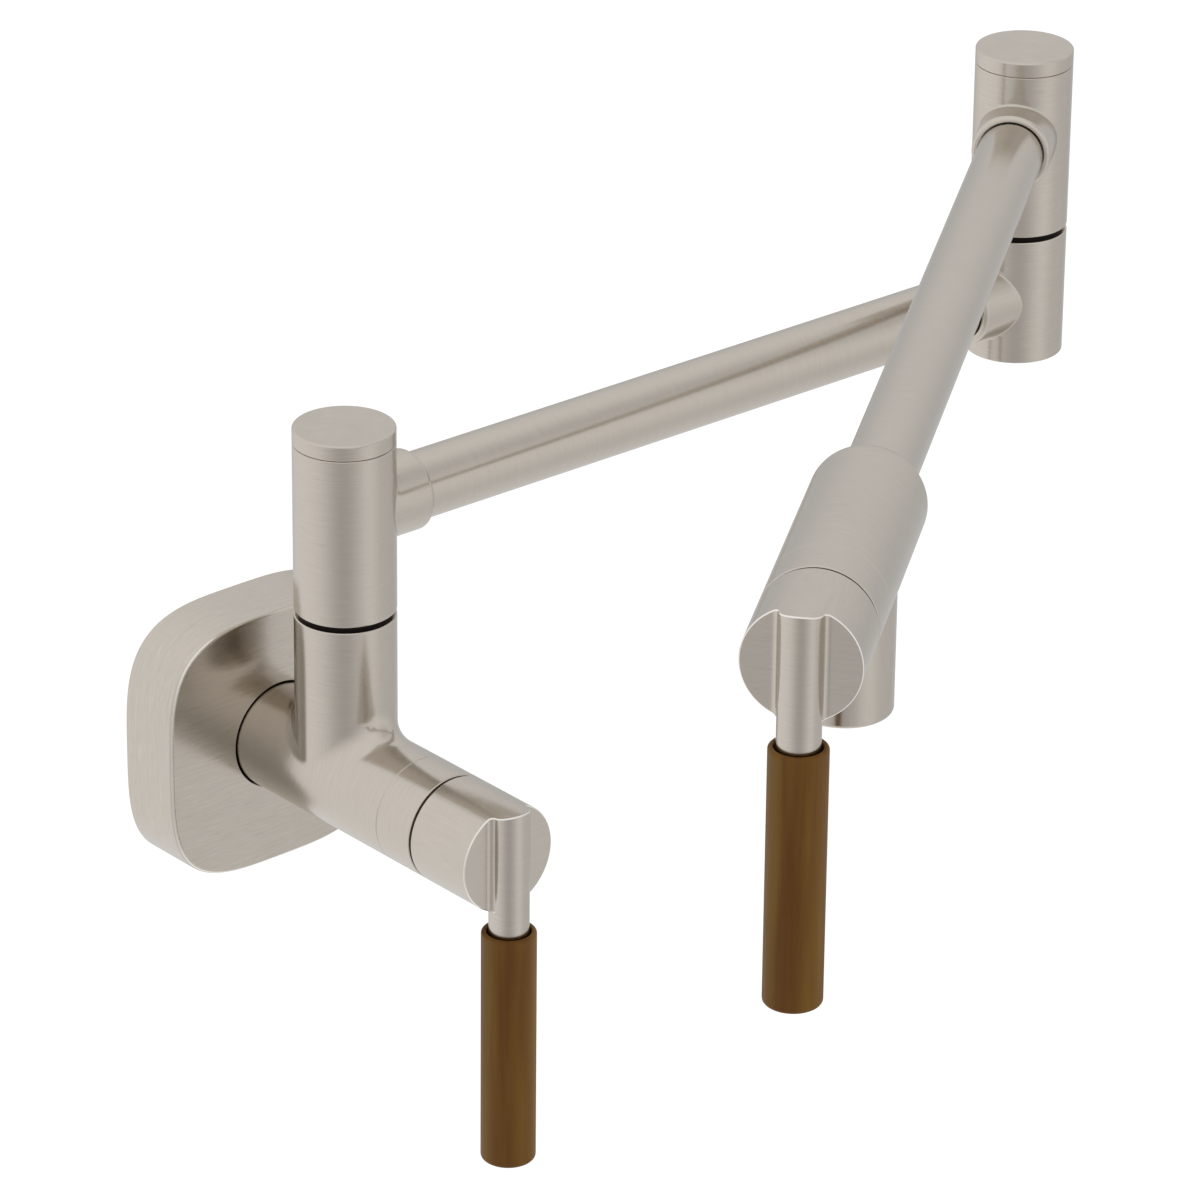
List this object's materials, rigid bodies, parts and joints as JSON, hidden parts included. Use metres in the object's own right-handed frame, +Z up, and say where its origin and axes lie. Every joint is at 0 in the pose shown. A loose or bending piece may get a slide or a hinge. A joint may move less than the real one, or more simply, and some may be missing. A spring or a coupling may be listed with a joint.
{
  "type": "pot filler tap",
  "caption": "Wall-mounted folding pot filler: two swing arms on upright barrel joints, quarter-turn valves with wooden grips at the wall and outlet, and a short spout.",
  "frame": {"origin": "centre of the flange's back face, on the wall and on the supply's axis", "axes": "+Z up, +X to the right along the wall for someone facing it, +Y into the wall; the tap reaches out along -Y. Stored in the picture's pose, with the first arm nearly along the wall, the second folded back over it and both valves shut."},
  "size_m": [0.3334, 0.3057, 0.2601],
  "materials": {
    "nickel": "brushed nickel plate, warm grey, fine marks round each barrel and tube",
    "wood": "mid-brown oiled hardwood, grain along the grip",
    "brass": "machined, unplated",
    "steel": "plain stainless screws and studs",
    "rubber": "matte black",
    "ceramic": "lapped white ceramic, opaque",
    "acetal": "black acetal"
  },
  "bodies": {
    "wall_body": {"wall_flange": "nickel", "wall_gasket": "rubber", "flange_o_ring": "rubber", "flange_set_screw": "steel", "body_tee": "nickel", "wall_bonnet": "nickel", "wall_cartridge": "brass", "wall_fixed_disc": "ceramic", "wall_seat_seal": "rubber", "shoulder_spindle": "brass", "shoulder_o_rings": "rubber", "shoulder_washer": "acetal", "shoulder_nut": "brass"},
    "first_arm": {"shoulder_barrel": "nickel", "shoulder_cap": "nickel", "shoulder_cap_seal": "rubber", "arm_1_tube": "nickel", "elbow_base": "nickel", "elbow_spindle": "brass", "elbow_o_rings": "rubber", "elbow_washer": "acetal", "elbow_nut": "brass"},
    "second_arm": {"elbow_barrel": "nickel", "elbow_cap": "nickel", "elbow_cap_seal": "rubber", "arm_2_tube": "nickel", "outlet_body": "nickel", "outlet_bonnet": "nickel", "outlet_cartridge": "brass", "outlet_fixed_disc": "ceramic", "outlet_seat_seal": "rubber", "aerator_ring": "nickel", "aerator_grid": "acetal", "aerator_washer": "rubber"},
    "wall_handle": {"wall_lever": "nickel", "wall_grip": "wood", "wall_grip_stud": "steel", "wall_knob_screw": "steel", "wall_stem": "brass", "wall_stem_seal": "rubber", "wall_moving_disc": "ceramic"},
    "outlet_handle": {"outlet_lever": "nickel", "outlet_grip": "wood", "outlet_grip_stud": "steel", "outlet_knob_screw": "steel", "outlet_stem": "brass", "outlet_stem_seal": "rubber", "outlet_moving_disc": "ceramic"}
  },
  "joints": [
    {"name": "shoulder_swing", "type": "hinge", "parent": "wall_body", "child": "first_arm", "pos_m": [0, -0.0524, 0.0511], "axis": [0, 0, 1], "range_deg": [-179.23, 0.77]},
    {"name": "elbow_swing", "type": "hinge", "parent": "first_arm", "child": "second_arm", "pos_m": [0.26418, -0.05595, 0.1045], "axis": [0, 0, 1], "range_deg": [-38.29, 321.71]},
    {"name": "wall_valve_turn", "type": "hinge", "parent": "wall_body", "child": "wall_handle", "pos_m": [0, -0.086, 0], "axis": [0, -1, 0], "range_deg": [0, 90]},
    {"name": "outlet_valve_turn", "type": "hinge", "parent": "second_arm", "child": "outlet_handle", "pos_m": [-0.01303, -0.26881, 0.137], "axis": [-0.7931, -0.609, 0], "range_deg": [0, 90]}
  ]
}
